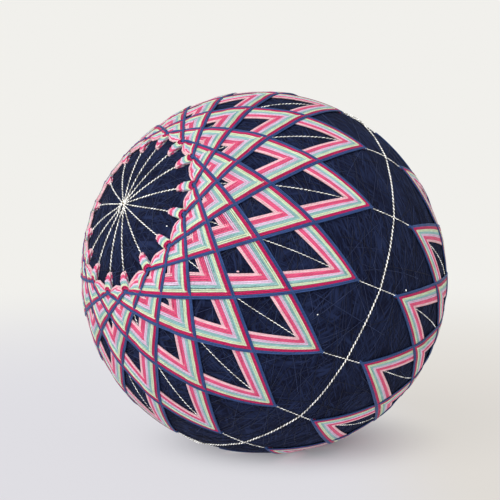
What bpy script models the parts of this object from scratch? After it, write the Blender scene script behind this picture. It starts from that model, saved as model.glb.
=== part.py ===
"""Temari ball: a thread-wound ball with an interlaced chrysanthemum star stitched round each pole.

The ball stands on z = 0 with its axis tilted. The front, where one pole shows, faces -Y.
"""
import math

import bmesh
import bpy
from mathutils import Matrix, Vector
from mathutils.geometry import delaunay_2d_cdt

# Ball, in metres, and how far its north (1) and south (-1) poles stand off its equator's plane, in radii
BALL_RADIUS = 0.045
POLE_REACH = {1: 0.965, -1: 1.075}
AXIS_TILT = math.radians(65.0)
AXIS_HEADING = math.radians(217.0)
BALL_AROUND = 48
BALL_UP = 24

# Star: herringbone arms that run from a knot near the pole to a petal tip three marking lines on
LINES = 16
SPAN = 3
LINE_STEP = math.tau / LINES
PALE_EDGE = {"knot": 21.3, "tip": 72.0, "bulge": 5.5, "ring": 23.8}
BLUE_EDGE = {"knot": 26.7, "tip": 81.9, "bulge": 9.3, "ring": 26.2}
RING_BLEND = 1.5
ARM_STEPS = (0.0, 0.5, 1.0, 1.5, 2.0, 2.25, 2.5, 2.75, 3.0)
KNOT_OUTLINE = ((19.6, 0.0006), (21.0, 0.0010), (24.6, 0.0012))
SMALLEST_GAP = 2.5e-6
PLAN_UNITS = 1000.0
MERGE = 1e-4

# Marking threads
SPOKE_END = 19.2
SPOKE_STEPS = 3
THREAD_WIDTH = 0.0006
THREAD_HEIGHT = 0.00035
STUB_END = 82.6

# Heights above the wound ball
GAP = 0.0003
ONE_LAYER = 0.00055
MORE_LAYER = 0.00035
KNOT_LAYERS = 2.2

# Where the ball rests, its stitches are pressed flat
SINK = 0.0009
PRESSED = 0.0005
FLAT_CORNERS = 24
SHARP_EDGE = math.radians(20.0)

MATERIALS = {
    "navy_winding": ((0.010, 0.013, 0.035), 0.9, 0.0),
    "north_floss": ((0.75, 0.22, 0.32), 0.75, 0.0),
    "south_floss": ((0.52, 0.70, 0.58), 0.75, 0.0),
    "metallic_thread": ((0.80, 0.77, 0.62), 0.35, 0.7),
}


def clear_scene():
    for thing in list(bpy.data.objects):
        bpy.data.objects.remove(thing, do_unlink=True)


def material(name):
    made = bpy.data.materials.get(name) or bpy.data.materials.new(name)
    colour, roughness, metallic = MATERIALS[name]
    made.use_nodes = True
    shader = made.node_tree.nodes["Principled BSDF"]
    shader.inputs["Base Color"].default_value = (*colour, 1.0)
    shader.inputs["Roughness"].default_value = roughness
    shader.inputs["Metallic"].default_value = metallic
    return made


def axis_frame():
    """Columns: the way down the ball's side, the way round it, and its axis."""
    ct, st = math.cos(AXIS_TILT), math.sin(AXIS_TILT)
    ch, sh = math.cos(AXIS_HEADING), math.sin(AXIS_HEADING)
    down = Vector((ct * ch, ct * sh, -st))
    axis = Vector((st * ch, st * sh, ct))
    return Matrix((down, axis.cross(down), axis)).transposed()


FRAME = axis_frame()


def pole_reach(height):
    """Which pole's reach applies at a height over the equator's plane."""
    return POLE_REACH[1 if height >= 0 else -1]


def extent(direction):
    """How far the bare ball reaches from its equator's centre in a world direction."""
    local = FRAME.transposed() @ Vector(direction)
    return BALL_RADIUS * math.hypot(local.x, local.y, pole_reach(local.z) * local.z)


# The equator's centre, placed so that the whole ball stands over the origin
CENTRE = Vector((
    (extent((-1, 0, 0)) - extent((1, 0, 0))) / 2,
    (extent((0, -1, 0)) - extent((0, 1, 0))) / 2,
    extent((0, 0, -1)) + GAP + ONE_LAYER - SINK,
))


def on_ball(colatitude, longitude, rise, side=1):
    """World point at a rise above the bare ball. Angles are radians, and side -1 is the south."""
    reach = BALL_RADIUS + rise
    height = side * reach * math.cos(colatitude)
    local = Vector((
        reach * math.sin(colatitude) * math.cos(longitude),
        reach * math.sin(colatitude) * math.sin(longitude),
        height * pole_reach(height),
    ))
    return CENTRE + FRAME @ local


def flat_map(colatitude, longitude):
    """Plan view from the pole in millimetres: distance from the pole is kept true."""
    reach = colatitude * BALL_RADIUS * PLAN_UNITS
    return Vector((round(reach * math.cos(longitude), 6), round(reach * math.sin(longitude), 6)))


def unmap(point):
    return point.length / (BALL_RADIUS * PLAN_UNITS), math.atan2(point.y, point.x)


def section_colatitude(knot, tip, bulge, lines_on):
    """Degrees from the pole of a plane section through knot and tip that bulges away from the pole."""
    turn = SPAN * LINE_STEP
    k, t = math.radians(knot), math.radians(tip)
    a = Vector((math.sin(k), 0.0, math.cos(k)))
    b = Vector((math.sin(t) * math.cos(turn), math.sin(t) * math.sin(turn), math.cos(t)))
    across = a.cross(b).normalized()
    offset = math.sin(math.radians(bulge))
    spread = 1 + a.dot(b)
    normal = (a + b) * (offset / spread) + across * math.sqrt(1 - 2 * offset**2 / spread)
    here = lines_on * LINE_STEP
    level = normal.x * math.cos(here) + normal.y * math.sin(here)
    size = math.hypot(level, normal.z)
    return math.degrees(math.atan2(level, normal.z) + math.acos(offset / size))


def edge_colatitude(edge, lines_on):
    """Radians from the pole of one edge of an arm, held out to the ring where arms leave their knots."""
    free = section_colatitude(edge["knot"], edge["tip"], edge["bulge"], lines_on)
    ring = edge["ring"]
    held = 0.5 * (free + ring + math.hypot(free - ring, RING_BLEND))
    return math.radians(held)


def arm_outline(knot_line, way):
    inner = [(edge_colatitude(PALE_EDGE, u), (knot_line + way * u) * LINE_STEP) for u in ARM_STEPS]
    outer = [(edge_colatitude(BLUE_EDGE, u), (knot_line + way * u) * LINE_STEP) for u in ARM_STEPS]
    return [flat_map(*corner) for corner in inner + outer[::-1]]


def strip_outline(stations, longitude):
    """A strip along one meridian. Stations are degrees from the pole and half widths in metres."""
    sides = []
    for way in (1, -1):
        side = []
        for degrees, half in stations:
            middle = flat_map(math.radians(degrees), longitude)
            stretch = math.radians(degrees) / math.sin(math.radians(degrees)) if degrees else 1.0
            across = Vector((-math.sin(longitude), math.cos(longitude)))
            side.append(middle + across * way * half * PLAN_UNITS * stretch)
        sides.append(side)
    return sides[0] + sides[1][::-1]


def ring_outlines(degrees, half_width, parts):
    """A band round the ball at one colatitude, as one quadrilateral for each part."""
    near = math.radians(degrees) - half_width / BALL_RADIUS
    far = math.radians(degrees) + half_width / BALL_RADIUS
    step = math.tau / parts
    return [
        [flat_map(near, i * step), flat_map(near, (i + 1) * step),
         flat_map(far, (i + 1) * step), flat_map(far, i * step)]
        for i in range(parts)
    ]


def flat_spot_outline(side):
    """Ring of plan points round the place where the ball meets the floor."""
    lowest = FRAME.transposed() @ Vector((0.0, 0.0, -1.0))
    reach_here = POLE_REACH[side]
    touch = Vector((lowest.x, lowest.y, lowest.z * reach_here**2)).normalized()
    radius = math.sqrt(2 * BALL_RADIUS * SINK)
    first = touch.orthogonal().normalized()
    second = touch.cross(first)
    reach = math.sqrt(BALL_RADIUS**2 - radius**2)
    corners = []
    for i in range(FLAT_CORNERS):
        turn = math.tau * i / FLAT_CORNERS
        point = touch * reach + (first * math.cos(turn) + second * math.sin(turn)) * radius
        colatitude = math.atan2(math.hypot(point.x, point.y), side * point.z / reach_here)
        corners.append(flat_map(colatitude, math.atan2(point.y, point.x)))
    return corners


def small_gaps(faces, points, covered):
    """Indices of uncovered faces whose whole gap is smaller than SMALLEST_GAP square metres."""
    neighbours = {}
    for index, face in enumerate(faces):
        for a, b in zip(face, face[1:] + face[:1]):
            neighbours.setdefault(frozenset((a, b)), []).append(index)
    links = {index: set() for index in range(len(faces)) if not covered[index]}
    rim = set()
    for pair in neighbours.values():
        if len(pair) == 1:
            rim.update(pair)
        elif not covered[pair[0]] and not covered[pair[1]]:
            links[pair[0]].add(pair[1])
            links[pair[1]].add(pair[0])
    filled, seen = set(), set()
    for start in links:
        if start in seen:
            continue
        group, stack = set(), [start]
        while stack:
            index = stack.pop()
            if index not in group:
                group.add(index)
                stack.extend(links[index] - group)
        seen |= group
        area = 0.0
        for index in group:
            a, b, c = (points[i] for i in faces[index])
            area += abs((b - a).cross(c - a)) / 2
        if not group & rim and area / PLAN_UNITS**2 < SMALLEST_GAP:
            filled |= group
    return filled


def anticlockwise(outline):
    area = sum(a.cross(b) for a, b in zip(outline, outline[1:] + outline[:1]))
    return outline if area > 0 else outline[::-1]


def raised_skin(name, outlines, rise_of, side, shader, guide=None):
    """A closed skin over the ball: the union of plan outlines, with a flat underside GAP off the ball.

    rise_of gives a face's height above the underside from how many arms and knots cover it.
    """
    corners, borders, regions = [], [], []
    for outline in outlines:
        start = len(corners)
        corners.extend(anticlockwise(outline))
        regions.append(list(range(start, len(corners))))
    if guide:
        start = len(corners)
        corners.extend(guide)
        count = len(guide)
        borders = [(start + i, start + (i + 1) % count) for i in range(count)]
    points, _, faces, _, _, sources = delaunay_2d_cdt(corners, borders, regions, 0, MERGE, True)
    covered = [len(set(source)) for source in sources]
    filled = small_gaps(faces, points, covered)
    kept = [i for i in range(len(faces)) if covered[i] or i in filled]
    rises = {i: rise_of(sources[i]) for i in kept}
    near = {}
    for i in kept:
        for corner in faces[i]:
            near.setdefault(corner, []).append(rises[i])
    order = {corner: k for k, corner in enumerate(sorted(near))}
    places = [unmap(points[corner]) for corner in sorted(near)]
    top, bottom = [], []
    for (colatitude, longitude), corner in zip(places, sorted(near)):
        rise = GAP + sum(near[corner]) / len(near[corner])
        high = on_ball(colatitude, longitude, rise, side)
        low = on_ball(colatitude, longitude, GAP, side)
        high.z = max(high.z, 0.0)
        low.z = max(low.z, PRESSED)
        top.append(high)
        bottom.append(low)
    shift = len(top)
    solid = []
    edges = {}
    for i in kept:
        face = [order[c] for c in faces[i]]
        if side < 0:
            face.reverse()
        solid.append(face)
        solid.append([c + shift for c in reversed(face)])
        for a, b in zip(face, face[1:] + face[:1]):
            edges[(a, b)] = edges.get((a, b), 0) + 1
    for a, b in edges:
        if (b, a) not in edges:
            solid.append([b, a, a + shift, b + shift])
    mesh = bpy.data.meshes.new(name)
    mesh.from_pydata(top + bottom, [], solid)
    mesh.validate()
    return mesh_object(name, mesh, shader)


def mesh_object(name, mesh, shader):
    mesh.shade_smooth()
    mesh.set_sharp_from_angle(angle=SHARP_EDGE)
    mesh.materials.append(material(shader))
    made = bpy.data.objects.new(name, mesh)
    bpy.context.scene.collection.objects.link(made)
    return made


def wound_ball():
    """The thread-wound ball, cut flat GAP above the pressed stitches."""
    shape = bmesh.new()
    bmesh.ops.create_uvsphere(shape, u_segments=BALL_AROUND, v_segments=BALL_UP, radius=BALL_RADIUS)
    for corner in shape.verts:
        corner.co.z *= pole_reach(corner.co.z)
    place = Matrix.Translation(CENTRE) @ FRAME.to_4x4()
    bmesh.ops.transform(shape, matrix=place, verts=shape.verts)
    cut = bmesh.ops.bisect_plane(
        shape, geom=shape.verts[:] + shape.edges[:] + shape.faces[:],
        plane_co=(0.0, 0.0, PRESSED + GAP), plane_no=(0.0, 0.0, -1.0), clear_outer=True,
    )
    rim = [item for item in cut["geom_cut"] if isinstance(item, bmesh.types.BMEdge)]
    bmesh.ops.contextual_create(shape, geom=rim)
    mesh = bpy.data.meshes.new("wound_ball")
    shape.to_mesh(mesh)
    shape.free()
    return mesh_object("wound_ball", mesh, "navy_winding")


def motif(name, side, shader, guide):
    """One star: 32 arms, 16 each way round, and the knot at the pole end of each marking line."""
    arms = [arm_outline(line, way) for line in range(LINES) for way in (1, -1)]
    knots = [strip_outline(KNOT_OUTLINE, line * LINE_STEP) for line in range(LINES)]

    def rise_of(source):
        layers = max(len({i for i in source if i < len(arms)}), 1)
        if any(i >= len(arms) for i in source):
            layers = max(layers, KNOT_LAYERS)
        return ONE_LAYER + (layers - 1) * MORE_LAYER

    return raised_skin(name, arms + knots, rise_of, side, shader, guide)


def thread_rise(_source):
    return THREAD_HEIGHT


def pole_threads(name, side):
    half = THREAD_WIDTH / 2
    stations = [(SPOKE_END * i / SPOKE_STEPS, half) for i in range(SPOKE_STEPS + 1)]
    spokes = [strip_outline(stations, line * LINE_STEP) for line in range(LINES)]
    return raised_skin(name, spokes, thread_rise, side, "metallic_thread")


def equator_threads():
    half = THREAD_WIDTH / 2
    ring = ring_outlines(90.0, half, 2 * LINES)
    stations = [(STUB_END, half), (90.0, half), (180.0 - STUB_END, half)]
    stubs = [strip_outline(stations, line * LINE_STEP) for line in range(LINES)]
    return raised_skin("equator_threads", ring + stubs, thread_rise, 1, "metallic_thread")


def main():
    clear_scene()
    wound_ball()
    motif("north_motif", 1, "north_floss", None)
    motif("south_motif", -1, "south_floss", flat_spot_outline(-1))
    equator_threads()
    pole_threads("north_pole_threads", 1)
    pole_threads("south_pole_threads", -1)


main()
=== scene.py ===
"""Temari ball: the thread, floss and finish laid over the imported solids.

Every stitched thread is a tube whose centre line is worked out on the ball, row by row, as it is sewn.
"""
import math

import bpy
import numpy as np
from bpy.props import (
    FloatProperty,
    FloatVectorProperty,
    IntProperty,
    PointerProperty,
    StringProperty,
)
from bpy.types import Operator, Panel, PropertyGroup
from mathutils import Matrix, Vector


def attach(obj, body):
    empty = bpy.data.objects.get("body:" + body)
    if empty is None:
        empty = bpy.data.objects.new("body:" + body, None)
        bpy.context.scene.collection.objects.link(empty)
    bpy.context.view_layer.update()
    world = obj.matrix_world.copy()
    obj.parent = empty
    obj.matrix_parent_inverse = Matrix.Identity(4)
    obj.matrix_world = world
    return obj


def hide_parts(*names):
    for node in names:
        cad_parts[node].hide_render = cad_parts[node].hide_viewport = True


bl_info = {
    "name": "Temari Ball",
    "version": (1, 0, 0),
    "blender": (4, 5, 0),
    "location": "View3D > Sidebar > Temari",
    "description": "Winds and stitches a temari ball with a petal star round each pole",
    "category": "Add Mesh",
}

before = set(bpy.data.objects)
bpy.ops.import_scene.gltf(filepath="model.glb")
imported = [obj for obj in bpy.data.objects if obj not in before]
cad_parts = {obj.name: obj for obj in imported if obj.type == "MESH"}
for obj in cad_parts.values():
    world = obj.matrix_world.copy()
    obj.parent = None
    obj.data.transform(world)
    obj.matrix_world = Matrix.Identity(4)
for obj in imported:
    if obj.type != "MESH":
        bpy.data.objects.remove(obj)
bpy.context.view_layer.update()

# Ball, as in the solids: radii from its equator to its north (1) and south (-1) poles, and how deep it sits
BALL_RADIUS = 0.045
POLE_REACH = {1: 0.965, -1: 1.075}
AXIS_TILT = math.radians(65.0)
AXIS_HEADING = math.radians(217.0)
CENTRE_DROP = 0.00005

# Ripple of the ball's surface, and the rings and points round it of its mesh
BALL_RIPPLE = 0.00003
BALL_GRID = (112, 224)

# Axes that the winding runs round, in the ball's own frame: most strands take the first
WINDING_AXES = np.array((
    (0.35, 0.25, 0.9), (-0.3, 0.5, 0.85), (0.7, -0.3, 0.6), (0.1, 0.9, 0.4), (0.9, 0.3, 0.2),
))

# Strands: the share that keeps close to the first axis, how far those and the others stray from it, range of
# length in degrees, bend, range of height over the ball, where between middle (0) and end (0.5) they dive and
# how deep, steps and sides, and the brightest shade with its power
KEEPING = 0.65
STRAY = (0.3, 2.0)
STRAND_DEGREES = (8.0, 34.0)
STRAND_BEND = 0.015
STRAND_LIE = (0.00002, 0.00011)
STRAND_ENDS = (0.42, 0.5)
STRAND_DIVE = 0.00018
STRAND_MESH = (12, 3)
STRAND_SHADE = (0.8, 1.8)

# Streaks of thread under the strands, per metre across and along them, and the patches that show each way
STREAKS = (3300.0, 170.0, 170.0)
PATCHES = (100.0, 125.0, 150.0, 175.0, 200.0)

# Star, as in the solids: degrees from the pole for the first and the last row
LINES = 16
SPAN = 3.0
LINE_STEP = math.tau / LINES
FIRST_ROW = {"knot": 21.3, "tip": 72.0, "bulge": 5.5, "ring": 23.8, "blend": 1.7}
LAST_ROW = {"knot": 26.7, "tip": 81.9, "bulge": 9.3, "ring": 26.2, "blend": 0.2}

# Marking lines from a knot to where its rows leave it together, and to where they have fanned out
LEAVE_KNOT = 0.15
FANNED_OUT = 0.42

# Where rows leave their knot, in degrees: the middle row, and how far the first and the last stand from it
GATHER = {"middle": 26.15, "spread": 0.9}

# Pull of a petal's inner rows toward the pole where they bend: degrees, and marking lines from the knot
BEND_PULL = {"degrees": 1.7, "line": 1.8, "half_width": 0.75}

# Shares of the band's width where rows begin to cross their marking line straight, and where all of them do
STRAIGHT_ROWS = (0.80, 0.88)

# Marking lines that a thread runs on past a petal's tip, and those over which its slope there is taken
PAST_TIP = 0.024
TIP_STEP = 0.05

# A row's turn down its knot: degrees of its wrap's ends, marking lines in, degrees down, shares of the way
# where these meet, and the marking lines before the knot where a straight row starts
WRAP_ENDS = (-0.3, 0.25)
TURN_IN = 0.03
TURN_DOWN = 0.9
TURN_STOPS = (0.0, 0.40, 0.60, 1.0)
STRAIGHT_START = 0.09

# Heights in a knot: degrees from the first wrap where the bundle rises, degrees past a wrap where it covers a
# row, metres that each cover presses, least share of the first layer left, share of the way to come up in
BUNDLE_RISE = (-1.0, 3.0)
COVER_FROM = 0.35
COVER_PRESS = 0.00013
LEAST_LAYER = 0.8
COMING_UP = 0.16

# Share of the bundle's height that an arm keeps at first, and the marking lines over which it settles
BUNDLE_KEPT = 0.6
SETTLING = 0.12

# Place among another arm's rows, its first being 0, where a crossing row begins to rise and where it is up
LIFT_ROWS = (-1.4, -0.3)

# Points in a knot, along an arm and in the table of rows, points that round off corners, rows to spare in the
# table, and how much more a climb counts than a run when a thread's rings are spaced
KNOT_POINTS = 90
ARM_POINTS = 420
KNOT_ROUNDING = 15
ARM_ROUNDING = 9
TABLE_POINTS = 241
TABLE_MARGIN = 2
CLIMB_WEIGHT = 5.0

# Sides of a floss thread, how much its width varies, and the share of its run over which it starts to stray
FLOSS_SIDES = 6
FLOSS_SPREAD = 0.06
STRAY_FROM = (0.05, 0.25)

# How far single knots and tips were stitched from their places: degrees from the pole and marking lines
NORTH_KNOTS = {
    0: (0.3, 0.05), 1: (0.7, -0.08), 2: (-1.0, 0.04), 3: (-0.5, 0.035), 4: (-0.7, 0.06),
    5: (0.25, -0.02), 6: (0.0, 0.03), 7: (-0.4, -0.06), 8: (-0.3, -0.05), 15: (-0.4, 0.02),
}
NORTH_TIPS = {
    0: (0.0, -0.06), 1: (-0.2, -0.055), 2: (0.7, -0.035), 3: (0.0, -0.04), 4: (-0.3, -0.01),
    5: (-0.7, 0.0), 6: (-0.2, 0.01),
}
SOUTH_KNOTS = {}
SOUTH_TIPS = {2: (1.9, -0.02), 3: (2.6, 0.05), 4: (1.8, 0.03), 5: (1.2, 0.03), 6: (1.7, 0.05)}
ELSEWHERE = {"degrees": 0.4, "lines": 0.03}

# Degrees from a pole where a marking thread takes the shift of its knot and of its tip
SHIFTED_AT = {"knot": 21.0, "tip": 81.0}

# The equator thread rides up over the ball near one marking line
EQUATOR_RISE = {"line": 2.15, "half_width": 0.8, "degrees": 2.1, "rest": -0.45}

# Marking thread: the radius of its twist and half the width of each foil strand, in thread widths, then
# how dark the foil is between its wraps, a painted shade, and how bright its painted glints glow
TWIST_RADIUS = 0.24
FOILS = {
    "silver": {"half_width": 0.34, "groove_shade": 0.7, "glint_glow": 1.0},
    "gold": {"half_width": 0.22, "groove_shade": 0.35, "glint_glow": 0.0},
}

# Threads over a pole: degrees where they end, their wander, and how they heap up and lie loose in the middle
POLE_STAR = {"end": 20.6, "steps": 224, "wander": 0.015, "size": 0.85}
POLE_HEAP = {"height": 0.00009, "degrees": 2.2}
POLE_LOOSE = {"height": 0.00007, "degrees": 4.0}

# Marking lines seen between the rows: name, first and last degrees from the pole, and steps
LINE_PARTS = (("inner", 33.0, 42.0, 36), ("outer", 48.0, 76.0, 112))
LINE_WANDER = 0.012
LINE_SIZE = 0.62
LINE_LIE = 0.4

# Lengths of thread that cross the equator, from tip to tip, and the ring that runs over them
CROSSINGS = {"from": 80.5, "to": 98.0, "steps": 80, "size": 0.65}
RING = {"steps": 1536, "lie": 0.0001, "over": 0.00022, "sway": 0.15, "sways": 5, "size": 0.95}

# Bits of lint: pole's side, degrees from it, marking line, height and size in metres; steps and sides of each
PINK_LINT = ((1, 47.5, 3.37, 0.0008, 0.00060),)
WHITE_LINT = (
    (1, 21.1, 3.52, 0.0001, 0.00034), (1, 73.9, 3.36, 0.0001, 0.00024), (-1, 79.9, 4.17, 0.0001, 0.00036),
)
LINT_MESH = (7, 6)

# Rows of each colour, from the inside of a petal outwards
COLOUR_ROWS = (
    ("pale_pink", 2), ("hot_pink", 3), ("lavender", 2), ("aqua", 2),
    ("mint", 2), ("magenta", 2), ("blue", 2),
)
ROWS = sum(count for _, count in COLOUR_ROWS)

# How the floor presses the lowest stitches
PRESS_REACH = 0.0006
LOWEST_STITCH = -0.00043

# Where the room's wall ends and its ceiling starts: height of a direction, 0 at the horizon and 1 overhead
WALL_TOP = 0.2
CEILING_START = 0.5

# Floor: its reach, rings and points round it, metres from the ball where its near tone ends and its far tone
# starts (the near tone is painted shade, darker round the ball), the middle of the ball's shadow, the metres
# over which it fades, and the share of it gone beyond, where the floor glows instead: painted light
FLOOR_MESH = (12.0, 24, 64)
FAR_FLOOR = (0.07, 0.36)
SHADOW_MIDDLE = (0.008, 0.012, 0.0)
SHADOW_FADE = (0.002, 0.044)
SHADOW_LIFT = 0.86

# Metres right of the ball over which the near tone turns to a warmer painted shade
WARMER_SHADE_SIDE = (0.012, 0.05)

# Key light: where it shines from, how wide it is, and its colour
KEY_PLACE = (-0.55, -0.75, 1.05)
KEY_SPREAD = math.radians(38.0)
KEY_COLOUR = (1.0, 0.985, 0.96)

# Tint of the shine on navy thread, millimetres along a ply of floss, a ply of a strand and a wrap of foil,
# and painted glints of foil per metre
NAVY_SHINE = (0.35, 0.42, 0.75, 1.0)
FLOSS_PLY = 0.8
STRAND_PLY = 0.5
FOIL_WRAP = 0.45
FOIL_GLINTS = 700.0
BLACK = (0.0, 0.0, 0.0)

IMAGE_SIDE = 500
SENSOR_WIDTH = 36.0
SEED = 11


def screen(red, green, blue):
    """Linear colour of a screen colour with parts from 0 to 255."""
    parts = (red / 255.0, green / 255.0, blue / 255.0)
    return tuple(p / 12.92 if p <= 0.04045 else ((p + 0.055) / 1.055) ** 2.4 for p in parts)


# Ball geometry


def axis_frame():
    """Columns: the way down the ball's side, the way round it, and its axis."""
    ct, st = math.cos(AXIS_TILT), math.sin(AXIS_TILT)
    ch, sh = math.cos(AXIS_HEADING), math.sin(AXIS_HEADING)
    down = np.array((ct * ch, ct * sh, -st))
    axis = np.array((st * ch, st * sh, ct))
    return np.stack([down, np.cross(axis, down), axis], axis=1)


FRAME = axis_frame()


def pole_reach(height):
    """The reach of the pole on each height's side of the equator's plane."""
    return np.where(np.asarray(height) >= 0, POLE_REACH[1], POLE_REACH[-1])


def extent(direction):
    """How far the bare ball reaches from its equator's centre in a world direction."""
    local = FRAME.T @ np.array(direction)
    return BALL_RADIUS * math.hypot(local[0], local[1], pole_reach(local[2]) * local[2])


# The equator's centre, placed so that the whole ball stands over the origin
CENTRE = np.array((
    (extent((-1, 0, 0)) - extent((1, 0, 0))) / 2,
    (extent((0, -1, 0)) - extent((0, 1, 0))) / 2,
    extent((0, 0, -1)) - CENTRE_DROP,
))


def on_ball(colatitude, lines, rise, side):
    """World points of arrays: degrees from the pole, marking lines round it, and metres above the ball."""
    theta = np.radians(colatitude)
    phi = lines * LINE_STEP
    reach = BALL_RADIUS + rise
    height = side * reach * np.cos(theta)
    local = np.stack([
        reach * np.sin(theta) * np.cos(phi),
        reach * np.sin(theta) * np.sin(phi),
        height * pole_reach(height),
    ], axis=-1)
    return CENTRE + local @ FRAME.T


def outward(points):
    """Unit normals of the ball at world points: the gradient of its half ellipsoids."""
    local = (points - CENTRE) @ FRAME
    local[..., 2] /= pole_reach(local[..., 2]) ** 2
    world = local @ FRAME.T
    return world / np.linalg.norm(world, axis=-1, keepdims=True)


def press(points):
    """The floor squeezes what reaches it: z becomes (z + hypot(z, reach)) / 2, less its lowest value."""
    low = 0.5 * (LOWEST_STITCH + math.hypot(LOWEST_STITCH, PRESS_REACH))
    pressed = points.copy()
    z = points[..., 2]
    pressed[..., 2] = np.maximum(0.5 * (z + np.hypot(z, PRESS_REACH)) - low, 0.0)
    return pressed


# Meshes


def build_mesh(name, points, polygons, uv=None, shade=None):
    """An object from arrays: points (n, 3), a list of polygon index arrays, and corner or point values."""
    mesh = bpy.data.meshes.new(name)
    corners = np.concatenate([block.ravel() for block in polygons])
    sizes = np.concatenate([np.full(len(block), block.shape[1]) for block in polygons])
    mesh.vertices.add(len(points))
    mesh.vertices.foreach_set("co", points.astype(np.float32).ravel())
    mesh.loops.add(len(corners))
    mesh.loops.foreach_set("vertex_index", corners.astype(np.int32))
    mesh.polygons.add(len(sizes))
    starts = np.concatenate([[0], np.cumsum(sizes)[:-1]])
    mesh.polygons.foreach_set("loop_start", starts.astype(np.int32))
    mesh.update(calc_edges=True)
    if uv is not None:
        layer = mesh.uv_layers.new(name="along")
        layer.data.foreach_set("uv", uv[corners].astype(np.float32).ravel())
    if shade is not None:
        values = mesh.attributes.new("shade", "FLOAT", "POINT")
        values.data.foreach_set("value", shade.astype(np.float32))
    mesh.validate()
    mesh.shade_smooth()
    made = bpy.data.objects.new(name, mesh)
    bpy.context.scene.collection.objects.link(made)
    return made


def ring_quads(index):
    """Quads between neighbouring rings of a grid of point numbers, where each ring is closed."""
    following = np.roll(index, -1, axis=1)
    return np.stack([index[:-1], index[1:], following[1:], following[:-1]], -1).reshape(-1, 4)


def tubes(centres, half_widths, half_heights, sides, closed=False):
    """Tubes along many paths at once: points, polygon blocks and UVs (millimetres along, 0 to 1 across).

    centres is (tubes, steps, 3). A ring is centre + half width * cos(a) across + half height * sin(a) up,
    where up is the ball's normal there and across is at right angles to it and to the path.
    """
    count, steps = centres.shape[:2]
    if closed:
        ahead = np.roll(centres, -1, axis=1) - np.roll(centres, 1, axis=1)
    else:
        ahead = np.gradient(centres, axis=1)
    ahead /= np.linalg.norm(ahead, axis=-1, keepdims=True)
    up = outward(centres)
    across = np.cross(ahead, up)
    across /= np.linalg.norm(across, axis=-1, keepdims=True)
    up = np.cross(across, ahead)
    turn = (np.arange(sides) + 0.5) * math.tau / sides
    wide = np.broadcast_to(half_widths, (count, steps))[..., None, None]
    high = np.broadcast_to(half_heights, (count, steps))[..., None, None]
    ring = (
        centres[:, :, None]
        + wide * np.cos(turn)[:, None] * across[:, :, None]
        + high * np.sin(turn)[:, None] * up[:, :, None]
    )
    length = np.zeros((count, steps))
    length[:, 1:] = np.cumsum(np.linalg.norm(np.diff(centres, axis=1), axis=-1), axis=1)
    aside = np.broadcast_to(0.5 + 0.5 * np.cos(turn), (count, steps, sides))
    uv = np.stack([np.broadcast_to(length[..., None], aside.shape) * 1000, aside], axis=-1)
    index = np.arange(count * steps * sides).reshape(count, steps, sides)
    kept = slice(None) if closed else slice(-1)
    near, far = index[:, kept], np.roll(index, -1, axis=1)[:, kept]
    quads = np.stack([near, np.roll(near, -1, axis=2), np.roll(far, -1, axis=2), far], axis=-1)
    ends = [] if closed else [index[:, 0, ::-1], index[:, -1]]
    return ring.reshape(-1, 3), [quads.reshape(-1, 4), *ends], uv.reshape(-1, 2)


def smooth_noise(rng, count, along, waves):
    """Smooth wander of about -1 to 1 for each of count paths: sines of rising frequency and random phase."""
    usual_reach = 1.6
    total = np.zeros((count, along.shape[-1]))
    for wave in range(1, waves + 1):
        phase = rng.random((count, 1)) * math.tau
        size = rng.normal(0.0, 1.0 / wave, (count, 1))
        total += size * np.sin(math.tau * 0.5 * wave * along + phase)
    return total / usual_reach


def smoothstep(low, high, value):
    """0 at low and below, 1 at high and above, with level ends."""
    share = np.clip((value - low) / (high - low), 0.0, 1.0)
    return share * share * (3 - 2 * share)


# Star rows


def row_value(name, share):
    return FIRST_ROW[name] + (LAST_ROW[name] - FIRST_ROW[name]) * share


def leave_colatitude(share):
    """Degrees from the pole where rows that turn down their knot leave it, crowded together."""
    return GATHER["middle"] + GATHER["spread"] * (2 * share - 1) ** 3


def gathered(share, lines_on):
    """How far a row is drawn to the others: 1 as it leaves its knot, 0 once fanned out or if straight."""
    turning = 1 - smoothstep(*STRAIGHT_ROWS, share)
    return turning * (1 - smoothstep(LEAVE_KNOT, FANNED_OUT, lines_on))


def row_colatitude(share, lines_on):
    """Degrees from the pole of the row at a share of the band's width, some lines on from its knot.

    A plane section through knot and tip that bulges away from the pole, held out to the ring of knots,
    and gathered with the other rows close to its own knot.
    """
    knot = np.radians(row_value("knot", share))
    tip = np.radians(row_value("tip", share))
    turn = SPAN * LINE_STEP
    zero = np.zeros_like(knot)
    a = np.stack([np.sin(knot), zero, np.cos(knot)], -1)
    b = np.stack([np.sin(tip) * math.cos(turn), np.sin(tip) * math.sin(turn), np.cos(tip)], -1)
    across = np.cross(a, b)
    across /= np.linalg.norm(across, axis=-1, keepdims=True)
    offset = np.sin(np.radians(row_value("bulge", share)))
    spread = 1 + (a * b).sum(-1)
    normal = (a + b) * (offset / spread)[..., None]
    normal = normal + across * np.sqrt(1 - 2 * offset**2 / spread)[..., None]
    here = lines_on * LINE_STEP
    level = normal[..., 0] * np.cos(here) + normal[..., 1] * np.sin(here)
    size = np.hypot(level, normal[..., 2])
    free = np.degrees(np.arctan2(level, normal[..., 2]) + np.arccos(offset / size))
    ring = row_value("ring", share)
    held = 0.5 * (free + ring + np.hypot(free - ring, row_value("blend", share)))
    bend = 1 - smoothstep(0.0, BEND_PULL["half_width"], np.abs(lines_on - BEND_PULL["line"]))
    held = held - BEND_PULL["degrees"] * (1 - share) ** 2 * bend
    return held + (leave_colatitude(share) - held) * gathered(share, lines_on)


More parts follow.
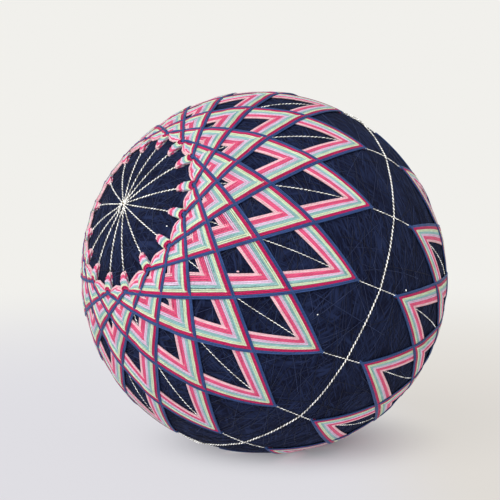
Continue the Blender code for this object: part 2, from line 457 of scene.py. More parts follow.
def rows_under(colatitude, lines_on, rows, tie):
    """How many threads of other arms lie under a row at each of its points: each later row is on top."""
    table_rows = np.arange(-TABLE_MARGIN, ROWS + TABLE_MARGIN)
    table_lines = np.linspace(0.0, SPAN, TABLE_POINTS)
    table = row_colatitude(((table_rows + 0.5) / ROWS)[:, None] + 0 * table_lines, table_lines[None])
    under = np.zeros_like(colatitude)
    for line in range(LINES):
        for way in (1, -1):
            if line == 0 and way == 1:
                continue
            other = np.mod(way * (lines_on - line), LINES)
            inside = other <= SPAN
            edges = np.stack([np.interp(other, table_lines, row) for row in table])
            below = (edges < colatitude).sum(0) - 1
            slot = np.clip(below, 0, len(table_rows) - 2)
            low, high = (np.take_along_axis(edges, slot[None] + step, 0)[0] for step in (0, 1))
            crossed = table_rows[0] + slot + (colatitude - low) / (high - low)
            covers = smoothstep(*LIFT_ROWS, crossed) * inside * (below >= 0)
            later = np.clip(rows - tie * way - crossed + 0.5, 0.0, 1.0)
            under += covers * later
    return under


def rounded(values, samples):
    """Rounds the corners of each row of values with a bell-shaped average, keeping both ends in place."""
    kernel = np.hanning(samples + 2)
    kernel /= kernel.sum()
    padded = np.pad(values, ((0, 0), (samples // 2 + 1,) * 2), mode="reflect", reflect_type="odd")
    return np.stack([np.convolve(row, kernel, mode="valid") for row in padded])


def thread_paths(knots, relief, steps, tie):
    """Lines on, degrees and rises of one arm's rows, as (rows, steps) arrays, and their run from 0 to 1.

    A row starts with its wrap across the knot, turns down the knot's side under the wraps of later rows,
    follows its arm, and crosses the marking line at the tip before it dives into the ball.
    """
    rows = np.arange(ROWS)[:, None].astype(float)
    share = (rows + 0.5) / ROWS
    wrap = knots.first_wrap + (knots.last_wrap - knots.first_wrap) * share
    leave = row_colatitude(share, LEAVE_KNOT + 0 * share)
    wide = knots.first_half_width + (knots.half_width - knots.first_half_width) * smoothstep(0.0, 0.4, share)
    straight = smoothstep(*STRAIGHT_ROWS, share)
    s = np.linspace(0.0, 1.0, KNOT_POINTS)
    start, end = WRAP_ENDS
    stops_on = np.concatenate([-wide, wide, wide - TURN_IN, LEAVE_KNOT + 0 * share], 1)
    stops_down = np.concatenate([wrap + start, wrap + end, wrap + TURN_DOWN * (1 - share), leave], 1)
    knot_on = np.stack([np.interp(s, TURN_STOPS, row) for row in stops_on])
    knot_down = np.stack([np.interp(s, TURN_STOPS, row) for row in stops_down])
    knot_on = knot_on + straight * (-STRAIGHT_START + (LEAVE_KNOT + STRAIGHT_START) * s - knot_on)
    knot_down = knot_down + straight * (leave - knots.cross_rise * (1 - s) - knot_down)
    knot_on, knot_down = rounded(knot_on, KNOT_ROUNDING), rounded(knot_down, KNOT_ROUNDING)
    arm_on = np.linspace(LEAVE_KNOT, SPAN + PAST_TIP, ARM_POINTS)[None, 1:] + 0 * share
    reach = np.minimum(arm_on, SPAN)
    arm_down, at_tip, before_tip = (
        row_colatitude(share + 0 * arm_on, on + 0 * arm_on) for on in (reach, SPAN, SPAN - TIP_STEP)
    )
    arm_down = arm_down + (at_tip - before_tip) / TIP_STEP * (arm_on - reach)

    under = rounded(rows_under(arm_down, arm_on, rows + 0 * arm_on, tie), ARM_ROUNDING)
    near_knot = 1 - smoothstep(LEAVE_KNOT, FANNED_OUT, arm_on)
    arm_rise = relief.first_layer + relief.layer * under + relief.outer_rows * share
    arm_rise = arm_rise + BUNDLE_KEPT * knots.height * share * near_knot
    past_tip = smoothstep(SPAN, SPAN + PAST_TIP, arm_on)
    arm_rise = arm_rise * (1 - past_tip) - relief.first_layer * past_tip

    later = (wrap[:, 0][None, None] < (knot_down - COVER_FROM)[..., None]).sum(-1) - rows - 1
    climbed = smoothstep(*(knots.first_wrap + end for end in BUNDLE_RISE), knot_down)
    bundle = relief.first_layer + knots.height * climbed
    knot_rise = np.maximum(bundle - COVER_PRESS * np.clip(later, 0, None), relief.first_layer * LEAST_LAYER)
    out = smoothstep(0.0, COMING_UP, s)
    knot_rise = knot_rise * out - relief.first_layer * (1 - out)
    settle = smoothstep(LEAVE_KNOT, LEAVE_KNOT + SETTLING, arm_on)
    arm_rise = arm_rise * settle + np.maximum(knot_rise[:, -1:], arm_rise) * (1 - settle)

    lines_on = np.concatenate([knot_on, arm_on], 1)
    degrees = np.concatenate([knot_down, arm_down], 1)
    rises = np.concatenate([knot_rise, arm_rise], 1)
    along = BALL_RADIUS * np.radians(np.diff(degrees, axis=1))
    round_it = BALL_RADIUS * np.sin(np.radians(degrees[:, 1:])) * np.diff(lines_on, axis=1) * LINE_STEP
    climb = CLIMB_WEIGHT * np.diff(rises, axis=1)
    length = np.sqrt(along**2 + round_it**2 + climb**2)
    length[:, :len(s)] *= knots.detail
    run = np.zeros_like(lines_on)
    run[:, 1:] = np.cumsum(length, axis=1)
    even = np.linspace(0.0, 1.0, steps)
    picked = [
        np.stack([np.interp(even * r[-1], r, row) for r, row in zip(run, values)])
        for values in (lines_on, degrees, rises)
    ]
    return (*picked, even)


def stitch_shifts(side):
    """Shifts of a star's knots and tips, as (lines, 2) arrays: the known ones, and small random ones."""
    known = {1: (NORTH_KNOTS, NORTH_TIPS), -1: (SOUTH_KNOTS, SOUTH_TIPS)}[side]
    rng = np.random.default_rng(SEED + 20 + side)
    spread = np.array((ELSEWHERE["degrees"], ELSEWHERE["lines"]))
    shifts = []
    for places in known:
        values = rng.normal(size=(LINES, 2)) * spread
        for line, shift in places.items():
            values[line] = shift
        shifts.append(values)
    return shifts


def line_shift(line, colatitude):
    """How far a marking thread strays from its line, at degrees from the north pole."""
    north_knots, north_tips = stitch_shifts(1)
    south_knots, south_tips = stitch_shifts(-1)
    knot, tip = SHIFTED_AT["knot"], SHIFTED_AT["tip"]
    places = (0.0, knot, tip, 180.0 - tip, 180.0 - knot, 180.0)
    strays = (
        0.0, north_knots[line, 1], north_tips[line, 1], south_tips[line, 1], south_knots[line, 1], 0.0,
    )
    return np.interp(colatitude, places, strays)


# Shader maths


class Wire:
    """A shader socket that takes part in Python expressions: each operator adds its Math node."""

    def __init__(self, recipe, socket):
        self.recipe = recipe
        self.socket = socket

    def math(self, operation, *others):
        inputs = dict(enumerate((self, *others)))
        return self.recipe.add("ShaderNodeMath", {"operation": operation}, inputs)[0]

    def __add__(self, other):
        return self.math("ADD", other)

    __radd__ = __add__

    def __sub__(self, other):
        return self.math("SUBTRACT", other)

    def __rsub__(self, other):
        return self.recipe.add("ShaderNodeMath", {"operation": "SUBTRACT"}, {0: other, 1: self})[0]

    def __mul__(self, other):
        return self.math("MULTIPLY", other)

    __rmul__ = __mul__

    def above(self, low, high):
        """A smooth step: 0 at low and below, 1 at high and above."""
        settings = {"interpolation_type": "SMOOTHSTEP"}
        return self.recipe.add("ShaderNodeMapRange", settings, {0: self, 1: low, 2: high})[0]


class Recipe:
    """One material, or the world: its node tree, its shader, and the one way that nodes are added."""

    def __init__(self, name, kind="materials", shader="Principled BSDF", **constants):
        self.made = getattr(bpy.data, kind).new(name)
        self.made.use_nodes = True
        self.tree = self.made.node_tree
        self.shader = self.tree.nodes[shader]
        for socket, value in constants.items():
            self.set(socket.replace("_", " ").title().replace("Ior", "IOR"), value)

    def add(self, kind, settings=None, inputs=None):
        """Adds a node: settings first, then socket values or links. Returns its outputs as wires."""
        node = self.tree.nodes.new(kind)
        for key, value in (settings or {}).items():
            setattr(node, key, value)
        for key, value in (inputs or {}).items():
            self.feed(node.inputs[key], value)
        return [Wire(self, output) for output in node.outputs]

    def feed(self, socket, value):
        if isinstance(value, Wire):
            self.tree.links.new(value.socket, socket)
        elif isinstance(value, (tuple, list)) and socket.type == "RGBA" and len(value) == 3:
            socket.default_value = (*value, 1.0)
        else:
            socket.default_value = value

    def set(self, name, value):
        self.feed(self.shader.inputs[name], value)

    def mix(self, factor, first, second):
        """A colour mix: first where factor is 0 and second where it is 1."""
        settings = {"data_type": "RGBA", "clamp_factor": True}
        return self.add("ShaderNodeMix", settings, {0: factor, 6: first, 7: second})[2]

    def bump(self, height, distance, strength):
        inputs = {"Height": height, "Distance": distance, "Strength": strength}
        self.set("Normal", self.add("ShaderNodeBump", {}, inputs)[0])

    def object_point(self):
        return self.add("ShaderNodeTexCoord")[3]

    def distance(self, point, place=(0.0, 0.0, 0.0)):
        return self.add("ShaderNodeVectorMath", {"operation": "DISTANCE"}, {0: point, 1: place})[1]

    def thread_uv(self):
        """The piece's own UV: millimetres along a thread, and 0 to 1 across it."""
        uv = self.add("ShaderNodeUVMap", {"uv_map": "along"})[0]
        return self.add("ShaderNodeSeparateXYZ", {}, {0: uv})[:2]

    def shade(self):
        """The shade of a thread, from 0 to 1."""
        return self.add("ShaderNodeAttribute", {"attribute_name": "shade"})[2]

    def stretched_noise(self, turn, scale, detail=2.0, bend=0.0):
        """Noise on object coordinates, turned and then stretched, so that it runs in streaks."""
        turned = self.add(
            "ShaderNodeMapping", {"vector_type": "POINT"},
            {"Vector": self.object_point(), "Rotation": turn},
        )[0]
        drawn = self.add("ShaderNodeVectorMath", {"operation": "MULTIPLY"}, {0: turned, 1: scale})[0]
        inputs = {"Vector": drawn, "Scale": 1.0, "Detail": detail, "Distortion": bend}
        return self.add("ShaderNodeTexNoise", {}, inputs)[0]


def floss_material(name, colour):
    """Twisted cotton floss: slanting plies along the UV, fibre streaks, a shade per thread, and painted shade
    between the plies and along each thread's edges.
    """
    recipe = Recipe(name, roughness=0.5, sheen_weight=0.08, sheen_roughness=0.4, specular_ior_level=0.35)
    recipe.set("Sheen Tint", (*(0.45 + 0.55 * part for part in colour), 1.0))
    along, aside = recipe.thread_uv()
    shade = recipe.shade()
    slant = (along * (math.tau / FLOSS_PLY) + aside * (1.7 * math.pi) + shade * 40.0).math("SINE")
    ply = slant.above(-1.0, 0.3)
    edge_shade = (aside - 0.5).math("ABSOLUTE").above(0.16, 0.46)
    drawn = recipe.add("ShaderNodeCombineXYZ", {}, {0: along * 0.5, 1: aside * 5.0, 2: shade * 90.0})[0]
    fibres = recipe.add("ShaderNodeTexNoise", {}, {"Vector": drawn, "Scale": 1.0, "Detail": 3.0})[0]
    dark = tuple(part * 0.5 for part in colour)
    light = tuple(part * 1.2 + 0.35 * part * (1.0 - part) + 0.015 for part in colour)
    # The colour darkens between the plies, a painted shade, and with the fibres, whose tone varies
    body = recipe.mix(fibres.above(0.28, 0.55) * 0.4 + ply * 0.4 + 0.2, dark, colour)
    body = recipe.mix(fibres.above(0.44, 0.66) * 0.75 + shade * 0.35 - 0.05, body, light)
    # Each thread darkens towards its edges: painted shade between neighbouring threads
    recipe.set("Base Color", recipe.mix(edge_shade * 0.5, body, dark))
    recipe.set("Roughness", 0.6 - ply * 0.12)
    recipe.bump(ply * 0.5 + fibres * 0.5, 0.00010, 0.9)
    return recipe.made


def navy_recipe(name, roughness, sheen, specular):
    """Navy sewing thread: dull, with a tinted shine."""
    return Recipe(
        name, roughness=roughness, sheen_weight=sheen, sheen_roughness=0.5, sheen_tint=NAVY_SHINE,
        specular_ior_level=specular,
    )


def winding_material(dark, light):
    """Ball wound with fine sewing thread: streaks of noise in several directions, each shown in patches."""
    recipe = navy_recipe("navy_winding", 0.9, 0.02, 0.1)
    streaks = None
    for local, patches in zip(WINDING_AXES, PATCHES):
        axis = Vector(FRAME @ local).normalized()
        aside = axis.orthogonal().normalized()
        turn = Matrix((axis, aside, axis.cross(aside))).to_euler()
        fine = recipe.stretched_noise(turn, STREAKS, 2.0, 0.25)
        patch = recipe.stretched_noise(turn, (patches,) * 3, 1.0)
        layer = fine.above(0.48, 0.66) * patch.above(0.3, 0.6)
        streaks = layer if streaks is None else streaks.math("MAXIMUM", layer)
    # The streaks take a little of the lit navy, thread that catches the light: a painted highlight
    recipe.set("Base Color", recipe.mix(streaks * 0.28, dark, light))
    recipe.bump(streaks, 0.00015, 0.9)
    return recipe.made


def strand_material(dark, light):
    """One strand of the winding: its own shade towards the lit navy, a painted highlight that differs at
    random from strand to strand, and a fine slanting ply, darker between the plies as a painted shade.
    """
    recipe = navy_recipe("navy_strand", 0.6, 0.05, 0.3)
    along, aside = recipe.thread_uv()
    ply = (along * (math.tau / STRAND_PLY) + aside * math.tau).math("SINE").above(-0.8, 0.6)
    recipe.set("Base Color", recipe.mix(recipe.shade() * (0.4 + ply * 0.6), dark, light))
    return recipe.made


def metallic_material(name, colour, shadow, glint_glow):
    """Foil-wrapped thread: bright wraps slanting along the UV, painted shade between them, and painted glints
    that glow.
    """
    recipe = Recipe(name, roughness=0.3, specular_ior_level=0.8, emission_strength=glint_glow)
    along, aside = recipe.thread_uv()
    wraps = (along * (math.tau / FOIL_WRAP) + aside * math.tau).math("SINE").above(-1.0, -0.2)
    # Glints: painted highlights, brighter in the base colour and glowing in the emission though no lamp
    glints = recipe.stretched_noise((0.0, 0.0, 0.0), (FOIL_GLINTS,) * 3).above(0.3, 0.6)
    recipe.set("Base Color", recipe.mix(wraps * (0.35 + glints * 0.65), shadow, colour))
    recipe.set("Emission Color", recipe.mix(wraps * glints, BLACK, colour))
    recipe.set("Metallic", wraps * 0.1)
    recipe.set("Roughness", 0.5 - wraps * 0.22)
    recipe.bump(wraps, 0.00003, 0.5)
    return recipe.made


def put_on(piece, material, slot, *nodes):
    """Gives a piece its material and its body, and hides the solids it stands for. The slot is not used."""
    piece.data.materials.append(material)
    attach(piece, "root")
    if nodes:
        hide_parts(*nodes)


# Settings


def colour_property(name, description, colour):
    return FloatVectorProperty(
        name=name, description=description, default=screen(*colour), min=0.0, max=1.0, subtype="COLOR",
    )


def length_property(name, description, metres):
    return FloatProperty(
        name=name, description=description, default=metres, min=0.0, precision=5,
        unit="LENGTH", subtype="DISTANCE",
    )


def number_property(name, description, default):
    return FloatProperty(name=name, description=description, default=default)


def count_property(name, description, default, least):
    return IntProperty(name=name, description=description, default=default, min=least)


class TemariWinding(PropertyGroup):
    dark: colour_property("Deep navy", "Colour between the strands of the winding", (12, 15, 38))
    light: colour_property("Lit navy", "Colour of the strands that catch the light", (66, 84, 136))
    strands: count_property("Strands", "Short lengths of thread seen over the winding", 2200, 0)
    strand_width: length_property("Strand width", "Width of one strand of sewing thread", 0.00015)


class TemariRelief(PropertyGroup):
    first_layer: length_property("First layer", "Height of a thread's middle on the ball", 0.00028)
    layer: length_property("Layer", "How much a crossed thread adds", 0.00022)
    outer_rows: length_property("Outer rows", "How much higher the last row lies than the first", 0.00010)
    width: length_property("Floss width", "Width of one thread of floss", 0.00041)
    height: length_property("Floss height", "Thickness of one thread of floss", 0.00036)
    band_wander: length_property("Band wander", "How far a whole arm strays from its line", 0.00012)
    row_wander: length_property("Row wander", "How far one row strays from its place", 0.00006)
    steps: count_property("Steps", "Rings along one thread", 52, 16)


class TemariKnots(PropertyGroup):
    first_wrap: number_property("First wrap", "Degrees from the pole of the first row's wrap", 20.4)
    last_wrap: number_property("Last wrap", "Degrees from the pole of the last row's wrap", 26.0)
    first_half_width: number_property("First half width", "Marking lines that the first wrap reaches", 0.10)
    half_width: number_property("Half width", "Marking lines that the later wraps reach", 0.155)
    cross_rise: number_property("Crossing rise", "Degrees that an outer row climbs in its cross", 1.2)
    height: length_property("Bundle height", "How high the wraps stand over the first layer", 0.00050)
    detail: number_property("Detail", "How much closer rings stand in a knot", 2.2)


class TemariFloss(PropertyGroup):
    pale_pink: colour_property("Pale pink", "Innermost rows", (253, 199, 209))
    hot_pink: colour_property("Hot pink", "Second colour", (238, 84, 131))
    lavender: colour_property("Lavender", "Third colour", (235, 202, 231))
    aqua: colour_property("Aqua", "Fourth colour", (150, 200, 200))
    mint: colour_property("Mint", "Fifth colour", (221, 239, 200))
    magenta: colour_property("Magenta", "Sixth colour", (200, 2, 90))
    blue: colour_property("Blue", "Outermost rows", (40, 72, 131))


class TemariMarking(PropertyGroup):
    silver: colour_property("Silver", "First strand of the marking thread", (255, 255, 252))
    # The gold is darkened as well: partly its own colour, partly painted shade between the silver's bright
    # wraps
    gold: colour_property("Gold", "Second strand of the marking thread", (150, 132, 92))
    width: length_property("Thread width", "Width of the twisted marking thread", 0.00036)
    pitch: length_property("Twist", "Length of one full turn of the twist", 0.00095)


class TemariStage(PropertyGroup):
    elevation: FloatProperty(
        name="Camera elevation", description="Height of the camera's view above the horizon",
        default=math.radians(6.5), subtype="ANGLE", unit="ROTATION",
    )
    distance: number_property("Distance", "Camera distance in ball radii", 7.5378)
    ball_x: number_property("Ball across", "Picture column of the ball's centre", 259.33)
    ball_y: number_property("Ball down", "Picture row of the ball's centre", 271.07)
    ball_size: number_property("Ball size", "Ball radius in picture pixels", 179.76)
    # The near floor is painted shade, darker round the ball
    near_floor_shade: colour_property("Near floor", "Floor colour round the ball", (225, 224, 229))
    # The floor right of the ball is a warmer painted shade
    warmer_shade_floor: colour_property("Warm floor", "Floor colour to the right of the ball", (226, 222, 216))
    far_floor: colour_property("Far floor", "Floor colour away from the ball", (241, 240, 236))
    wall: colour_property("Wall", "Colour of the room near the horizon", (241, 240, 236))
    ceiling: colour_property("Ceiling", "Colour of the room overhead", (168, 170, 176))
    key: number_property("Key light", "Strength of the broad light from the upper left", 1.9)


# Operators


def strand_paths(rng, count, steps):
    """Centre lines of strands: short arcs of great circles at random places, as (count, steps, 3)."""
    start = rng.normal(size=(count, 3))
    start /= np.linalg.norm(start, axis=1, keepdims=True)
    stray = rng.normal(size=(count, 3))
    stray *= np.where(rng.random((count, 1)) < KEEPING, *STRAY)
    way = np.cross(start, WINDING_AXES[0] + stray)
    way /= np.linalg.norm(way, axis=1, keepdims=True)
    side = np.cross(start, way)
    length = np.radians(rng.uniform(*STRAND_DEGREES, (count, 1)))
    s = np.linspace(-0.5, 0.5, steps)[None]
    angle = s * length
    bend = rng.normal(0.0, STRAND_BEND, (count, 1)) * (s * s - 0.25) * 4
    on = np.cos(angle)[..., None] * start[:, None] + np.sin(angle)[..., None] * way[:, None]
    on = on + bend[..., None] * side[:, None]
    on /= np.linalg.norm(on, axis=-1, keepdims=True)
    level = 1 - smoothstep(*STRAND_ENDS, np.abs(s))
    rise = rng.uniform(*STRAND_LIE, (count, 1)) * level - STRAND_DIVE * (1 - level)
    local = on * (BALL_RADIUS + rise)[..., None]
    local[..., 2] *= pole_reach(local[..., 2])
    return CENTRE + local @ FRAME.T


class TEMARI_OT_wind_ball(Operator):
    """Makes the wound ball's surface and the strands that lie over it"""

    bl_idname = "temari.wind_ball"
    bl_label = "Wind the ball"

    def execute(self, context):
        winding = context.scene.temari_winding
        dark, light = tuple(winding.dark), tuple(winding.light)
        down, around = BALL_GRID
        theta = np.linspace(0.0, 180.0, down + 1)[1:-1]
        lines = np.arange(around) * LINES / around
        grid_theta, grid_lines = np.meshgrid(theta, lines, indexing="ij")
        rng = np.random.default_rng(SEED)
        ripple = BALL_RIPPLE * smooth_noise(rng, down - 1, np.linspace(0, 2, around)[None], 1)
        points = on_ball(grid_theta, grid_lines, ripple * np.sin(np.radians(grid_theta)), 1)
        ends = [on_ball(np.array([angle]), np.zeros(1), np.zeros(1), 1) for angle in (0.0, 180.0)]
        points = np.concatenate([points.reshape(-1, 3), *ends])
        index = np.arange((down - 1) * around).reshape(down - 1, around)
        top, bottom = (np.full(around, len(points) - left) for left in (2, 1))
        caps = np.concatenate([
            np.stack([top, index[0], np.roll(index[0], -1)], -1),
            np.stack([bottom, np.roll(index[-1], -1), index[-1]], -1),
        ])
        ball = build_mesh("wound_ball_surface", press(points), [ring_quads(index), caps])
        put_on(ball, winding_material(dark, light), "navy_winding", "wound_ball")

        rng = np.random.default_rng(SEED + 1)
        count = winding.strands
        steps, sides = STRAND_MESH
        centres = strand_paths(rng, count, steps)
        half = winding.strand_width / 2
        points, polygons, uv = tubes(centres, half, half * 0.8, sides)
        brightest, power = STRAND_SHADE
        shade = np.repeat(brightest * rng.random(count) ** power, steps * sides)
        strands = build_mesh("wound_strands", press(points), polygons, uv, shade)
        put_on(strands, strand_material(dark, light), "navy_winding", "wound_ball")
        return {"FINISHED"}


class TEMARI_OT_stitch_star(Operator):
    """Stitches one star, a piece for each colour of floss"""

    bl_idname = "temari.stitch_star"
    bl_label = "Stitch a star"

    pole: StringProperty(name="Pole", description="north or south", default="north")

    def execute(self, context):
        scene = context.scene
        relief, knots, floss = scene.temari_relief, scene.temari_knots, scene.temari_floss
        side = {"north": 1, "south": -1}[self.pole]
        steps = relief.steps
        rng = np.random.default_rng(SEED + 2 + side)
        paths = {way: thread_paths(knots, relief, steps, 0.5 * way) for way in (1, -1)}
        arms = [(line, way) for line in range(LINES) for way in (1, -1)]
        even = paths[1][3]
        bands = smooth_noise(rng, len(arms), even[None], 3) * relief.band_wander
        centres = np.zeros((len(arms), ROWS, steps, 3))
        free = smoothstep(*STRAY_FROM, even)
        knot_shifts, tip_shifts = stitch_shifts(side)
        for number, (line, way) in enumerate(arms):
            lines_on, degrees, rises, _ = paths[way]
            rows = smooth_noise(rng, ROWS, even[None], 5) * relief.row_wander
            stray = np.degrees((bands[number][None] + rows) / BALL_RADIUS) * free
            tip_line = int(line + way * SPAN) % LINES
            reached = np.clip(lines_on / SPAN, 0.0, 1.0)[..., None]
            shift = knot_shifts[line] * (1 - reached) + tip_shifts[tip_line] * reached
            centres[number] = on_ball(
                degrees + stray + shift[..., 0], line + way * lines_on + shift[..., 1], rises, side,
            )
        shades = rng.random((len(arms), ROWS))
        widths = relief.width / 2 * (1 + FLOSS_SPREAD * rng.normal(size=(len(arms), ROWS)))
        first = 0
        for name, count in COLOUR_ROWS:
            taken = slice(first, first + count)
            first += count
            threads = centres[:, taken].reshape(-1, steps, 3)
            wide = widths[:, taken].reshape(-1, 1)
            points, polygons, uv = tubes(threads, wide, wide * relief.height / relief.width, FLOSS_SIDES)
            shade = np.repeat(shades[:, taken].ravel(), steps * FLOSS_SIDES)
            piece = build_mesh(f"{self.pole}_{name}_floss", press(points), polygons, uv, shade)
            found = bpy.data.materials.get(f"{name}_floss")
            material = found or floss_material(f"{name}_floss", tuple(getattr(floss, name)))
            put_on(piece, material, f"{self.pole}_floss", f"{self.pole}_motif")
        return {"FINISHED"}


def twisted_threads(name, centres, marking, nodes, size, closed=False):
    """Two foil-wrapped strands twisted round each path: each is offset from it by a turning radius."""
    ahead = np.gradient(centres, axis=1)
    length = np.linalg.norm(ahead, axis=-1)
    turns = np.cumsum(length, axis=1) / marking.pitch
    if closed:
        turns *= np.round(turns[:, -1:]) / turns[:, -1:]
    ahead /= length[..., None]
    up = outward(centres)
    across = np.cross(ahead, up)
    width = marking.width * size
    radius = width * TWIST_RADIUS
    angle = (turns * math.tau)[..., None]
    for strand, foil in FOILS.items():
        turned = angle + (math.pi if strand == "gold" else 0.0)
        line = centres + radius * (np.cos(turned) * across + np.sin(turned) * up)
        half = width * foil["half_width"]
        points, polygons, uv = tubes(line, half, half, 4, closed=closed)
        piece = build_mesh(f"{name}_{strand}", press(points), polygons, uv)
        tint = tuple(getattr(marking, strand))
        # A darker copy of the foil's colour: painted shade between its wraps
        groove_shade = tuple(part * foil["groove_shade"] for part in tint)
        found = bpy.data.materials.get(f"{strand}_foil")
        material = found or metallic_material(f"{strand}_foil", tint, groove_shade, foil["glint_glow"])
        put_on(piece, material, "metallic_thread", *nodes)


def marking_lines(rng, low, high, steps, lie, side):
    """Centre lines of the marking threads between two colatitudes, as (lines, steps, 3)."""
    down = np.linspace(low, high, steps)
    from_north = down if side > 0 else 180.0 - down
    shift = np.stack([line_shift(line, from_north) for line in range(LINES)])
    wander = smooth_noise(rng, LINES, np.linspace(0, 1, steps)[None], 2) * LINE_WANDER
    lines = np.arange(LINES)[:, None] + shift + wander
    return on_ball(down + 0 * lines, lines, lie + 0 * lines, side)


def pole_star(rng, lie, side):
    """Centre lines of the threads that run straight over a pole, each from one line to its opposite."""
    half, steps = LINES // 2, POLE_STAR["steps"]
    angle = np.linspace(-POLE_STAR["end"], POLE_STAR["end"], steps)[None]
    line = np.arange(half)[:, None] + np.where(angle < 0, half, 0)
    from_north = np.abs(angle[0]) if side > 0 else 180.0 - np.abs(angle[0])
    shift = np.stack([
        np.where(angle[0] < 0, line_shift(first + half, from_north), line_shift(first, from_north))
        for first in range(half)
    ])
    wander = smooth_noise(rng, half, np.linspace(0, 1, steps)[None], 3) * POLE_STAR["wander"]
    near = np.exp(-((angle / POLE_HEAP["degrees"]) ** 2))
    heap = POLE_HEAP["height"] * np.arange(half)[:, None] * near
    centres = on_ball(np.abs(angle) + 0 * line, line + shift + wander * np.sign(angle), lie + heap, side)
    near = np.exp(-((angle / POLE_LOOSE["degrees"]) ** 2))
    return centres + rng.normal(0.0, POLE_LOOSE["height"], (half, 1, 3)) * near[..., None]


class TEMARI_OT_lay_marking_threads(Operator):
    """Lays the marking threads: the star over each pole, the lines under the rows, and the equator"""

    bl_idname = "temari.lay_marking_threads"
    bl_label = "Lay the marking threads"

    def execute(self, context):
        marking = context.scene.temari_marking
        rng = np.random.default_rng(SEED + 5)
        lie = marking.width / 2
        for pole, side in (("north", 1), ("south", -1)):
            centres = pole_star(rng, lie, side)
            solids = [f"{pole}_pole_threads"]
            twisted_threads(f"{pole}_pole_star", centres, marking, solids, POLE_STAR["size"])
            for part, low, high, steps in LINE_PARTS:
                centres = marking_lines(rng, low, high, steps, lie * LINE_LIE, side)
                twisted_threads(f"{pole}_{part}_lines", centres, marking, [], LINE_SIZE)
        centres = marking_lines(rng, CROSSINGS["from"], CROSSINGS["to"], CROSSINGS["steps"], lie, 1)
        twisted_threads("equator_crossings", centres, marking, ["equator_threads"], CROSSINGS["size"])
        steps = RING["steps"]
        lines = np.arange(steps)[None] * LINES / steps
        away = (lines - EQUATOR_RISE["line"]) / EQUATOR_RISE["half_width"]
        sway = EQUATOR_RISE["rest"] + EQUATOR_RISE["degrees"] * np.exp(-(away**2))
        sway = sway + RING["sway"] * np.sin(lines * LINE_STEP * RING["sways"])
        over = RING["over"] * np.cos(lines * math.pi) ** 8
        centres = on_ball(90.0 + sway, lines, lie + RING["lie"] + over, 1)
        twisted_threads("equator_ring", centres, marking, ["equator_threads"], RING["size"], closed=True)
        return {"FINISHED"}


def lint(name, bits, material, slot):
    """A piece of small bits of lint: short tubes whose half width follows a half circle from end to end."""
    steps, sides = LINT_MESH
    along = np.linspace(-1.0, 1.0, steps)
    round_off = np.sqrt(np.clip(1.0 - along**2, 0.03, 1.0))
    centres = []
    for side, colatitude, line, height, size in bits:
        degrees = colatitude + np.degrees(size / 2 / BALL_RADIUS) * along
        centres.append(on_ball(degrees, line + 0.01 * along, height + 0 * along, side))
    half = np.array([bit[4] / 2 for bit in bits])[:, None] * round_off
    points, polygons, uv = tubes(np.stack(centres), half * 0.8, half * 0.8, sides)
    bright = np.full(len(points), 0.9)
    put_on(build_mesh(name, press(points), polygons, uv, bright), material, slot)


class TEMARI_OT_catch_lint(Operator):
    """Leaves the bits of lint that have caught in the thread"""

    bl_idname = "temari.catch_lint"
    bl_label = "Catch the lint"

    def execute(self, context):
        lint("pink_lint", PINK_LINT, bpy.data.materials["pale_pink_floss"], "north_floss")
        # The white bits take the silver foil, with its painted glints that glow
        lint("white_lint", WHITE_LINT, bpy.data.materials["silver_foil"], "metallic_thread")
        return {"FINISHED"}


def floor_material(near, warmer_shade, far):
    """Plain pale floor: it takes the ball's shadow close by, and glows into the wall's tone far off. The glow
    is painted light that lifts the shadow; the near tone is painted shade, darker round the ball, and right
    of the ball it is a warmer painted shade.
    """
    recipe = Recipe("pale_card", roughness=0.9, specular_ior_level=0.0, emission_strength=1.0)
    point = recipe.object_point()
    away = recipe.distance(point).above(*FAR_FLOOR)
    # Beyond the shadow's middle the floor takes less light and glows instead: painted light lifting the
    # shadow
    glow_lift = recipe.distance(point, SHADOW_MIDDLE).above(*SHADOW_FADE) * SHADOW_LIFT
    lit = (1.0 - glow_lift) * (1.0 - away)
    # Right of the ball the near tone turns to a warmer painted shade
    side = recipe.add("ShaderNodeSeparateXYZ", {}, {0: point})[0].above(*WARMER_SHADE_SIDE)
    tone = recipe.mix(away, recipe.mix(side, near, warmer_shade), far)
    recipe.set("Base Color", recipe.mix(lit, BLACK, tone))
    recipe.set("Emission Color", recipe.mix(lit, tone, BLACK))
    return recipe.made


def set_world(scene, wall, ceiling):
    """A pale room: its light is the wall's near the horizon and the ceiling's overhead."""
    recipe = Recipe("pale_room", "worlds", "Background")
    direction = recipe.add("ShaderNodeTexCoord")[0]
    height = recipe.add("ShaderNodeSeparateXYZ", {}, {0: direction})[2]
    recipe.set("Color", recipe.mix(height.above(WALL_TOP, CEILING_START), wall, ceiling))
    scene.world = recipe.made


def add_key_light(aim, strength):
    """A broad sun from the upper left."""
    light = bpy.data.lights.new("key", "SUN")
    light.angle = KEY_SPREAD
    light.energy = strength
    light.color = KEY_COLOUR
    made = bpy.data.objects.new("key", light)
    made.location = KEY_PLACE
    made.rotation_euler = (Vector(aim) - Vector(KEY_PLACE)).to_track_quat("-Z", "Y").to_euler()
    bpy.context.scene.collection.objects.link(made)


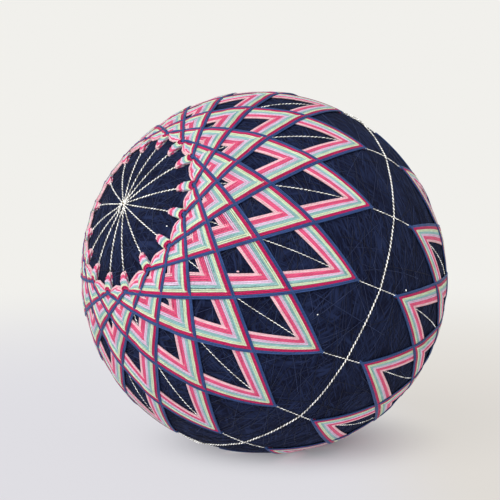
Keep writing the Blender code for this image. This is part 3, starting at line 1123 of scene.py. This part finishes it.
class TEMARI_OT_set_stage(Operator):
    """Sets the floor, the lights and the camera"""

    bl_idname = "temari.set_stage"
    bl_label = "Set the stage"

    def execute(self, context):
        stage = context.scene.temari_stage
        near, warmer_shade, far = tuple(stage.near_floor_shade), tuple(stage.warmer_shade_floor), tuple(stage.far_floor)
        reach, rings, around = FLOOR_MESH
        out = reach * (np.arange(1, rings + 1) / rings) ** 3
        turn = np.arange(around) * math.tau / around
        points = np.stack([
            np.outer(out, np.cos(turn)), np.outer(out, np.sin(turn)), np.zeros((rings, around)),
        ], -1).reshape(-1, 3)
        points = np.concatenate([points, np.zeros((1, 3))])
        index = np.arange(rings * around).reshape(rings, around)
        middle = np.full(around, rings * around)
        fan = np.stack([middle, index[0], np.roll(index[0], -1)], -1)
        floor = build_mesh("floor", points, [ring_quads(index), fan])
        floor.data.materials.append(floor_material(near, warmer_shade, far))

        set_world(context.scene, tuple(stage.wall), tuple(stage.ceiling))
        middle = tuple(CENTRE)
        add_key_light(middle, stage.key)

        camera_data = bpy.data.cameras.new("camera")
        camera = bpy.data.objects.new("camera", camera_data)
        context.scene.collection.objects.link(camera)
        back = Vector((0.0, -math.cos(stage.elevation), math.sin(stage.elevation)))
        camera.location = Vector(middle) + back * stage.distance * BALL_RADIUS
        camera.rotation_euler = (-back).to_track_quat("-Z", "Y").to_euler()
        camera_data.sensor_width = SENSOR_WIDTH
        focal = stage.ball_size * math.sqrt(stage.distance**2 - 1)
        camera_data.lens = SENSOR_WIDTH * focal / IMAGE_SIDE
        camera_data.shift_x = (IMAGE_SIDE / 2 - stage.ball_x) / IMAGE_SIDE
        camera_data.shift_y = (stage.ball_y - IMAGE_SIDE / 2) / IMAGE_SIDE
        camera_data.clip_start = 0.01
        context.scene.camera = camera
        context.scene.view_settings.view_transform = "Standard"
        return {"FINISHED"}


class TEMARI_PT_panel(Panel):
    """Lists the steps of making the ball"""

    bl_idname = "TEMARI_PT_panel"
    bl_label = "Temari Ball"
    bl_space_type = "VIEW_3D"
    bl_region_type = "UI"
    bl_category = "Temari"

    def draw(self, context):
        layout = self.layout
        layout.operator(TEMARI_OT_wind_ball.bl_idname)
        for pole in ("north", "south"):
            button = layout.operator(TEMARI_OT_stitch_star.bl_idname, text=f"Stitch the {pole} star")
            button.pole = pole
        layout.operator(TEMARI_OT_lay_marking_threads.bl_idname)
        layout.operator(TEMARI_OT_catch_lint.bl_idname)
        layout.operator(TEMARI_OT_set_stage.bl_idname)
        for name in SETTINGS:
            group = getattr(context.scene, name)
            box = layout.box()
            for key in group.__annotations__:
                box.prop(group, key)


SETTINGS = {
    "temari_winding": TemariWinding,
    "temari_relief": TemariRelief,
    "temari_knots": TemariKnots,
    "temari_floss": TemariFloss,
    "temari_marking": TemariMarking,
    "temari_stage": TemariStage,
}
CLASSES = (
    *SETTINGS.values(), TEMARI_OT_wind_ball, TEMARI_OT_stitch_star, TEMARI_OT_lay_marking_threads,
    TEMARI_OT_catch_lint, TEMARI_OT_set_stage, TEMARI_PT_panel,
)


def register():
    for cls in CLASSES:
        bpy.utils.register_class(cls)
    for name, group in SETTINGS.items():
        setattr(bpy.types.Scene, name, PointerProperty(type=group))


def unregister():
    for name in SETTINGS:
        delattr(bpy.types.Scene, name)
    for cls in reversed(CLASSES):
        bpy.utils.unregister_class(cls)


def main():
    register()
    bpy.ops.temari.wind_ball()
    bpy.ops.temari.stitch_star(pole="north")
    bpy.ops.temari.stitch_star(pole="south")
    bpy.ops.temari.lay_marking_threads()
    bpy.ops.temari.catch_lint()
    bpy.ops.temari.set_stage()


if __name__ == "__main__":
    main()
